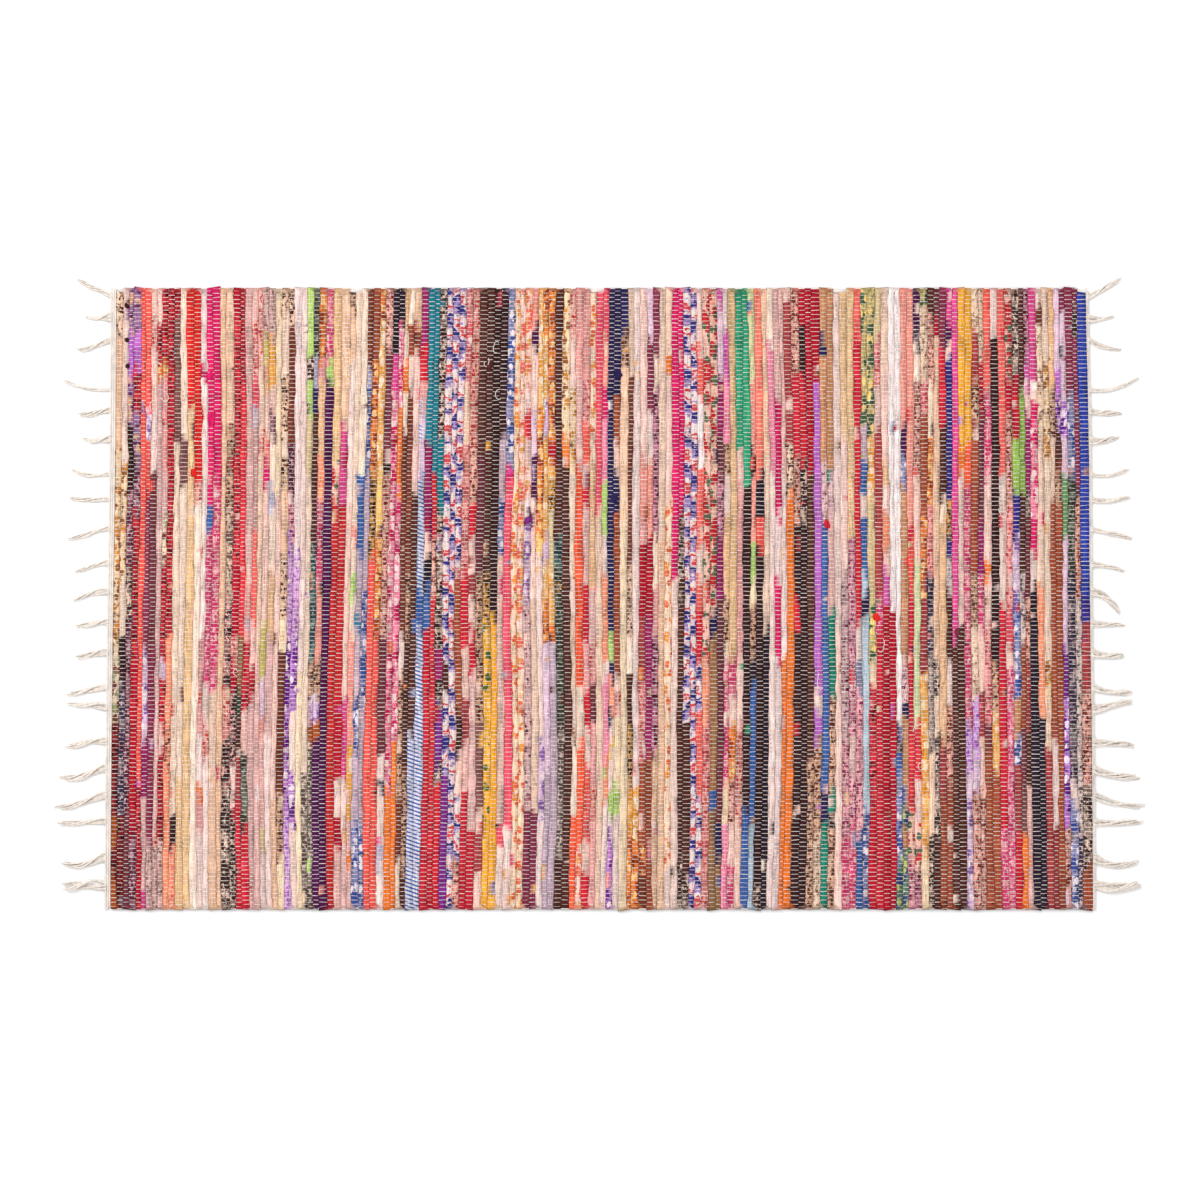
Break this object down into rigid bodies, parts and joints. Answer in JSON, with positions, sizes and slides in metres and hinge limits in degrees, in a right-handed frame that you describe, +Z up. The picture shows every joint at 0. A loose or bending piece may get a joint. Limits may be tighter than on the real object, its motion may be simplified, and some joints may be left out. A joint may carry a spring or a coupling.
{
  "type": "flat-woven rag kilim",
  "caption": "Flat-woven rag rug lying flat: plump ribs of multicoloured cotton rag crossed by thin ecru warp, with a narrow heading and loose twisted fringe at both ends.",
  "frame": {"origin": "middle of the footprint, fringe included, on the plane that the rug lies on", "axes": "+X along the warp, the long way of the rug, +Y across it towards the upper selvedge of the picture, +Z up"},
  "size_m": [1.2308, 0.7118, 0.005],
  "materials": {
    "rag_weft": "matt mixed cotton rag strips, mostly cream, pink, red and brown, solid and printed",
    "cotton_warp": "matt undyed ecru cotton yarn"
  },
  "bodies": {
    "root": {"cloth": "rag_weft", "fringe_left": "cotton_warp", "fringe_right": "cotton_warp"}
  },
  "joints": []
}
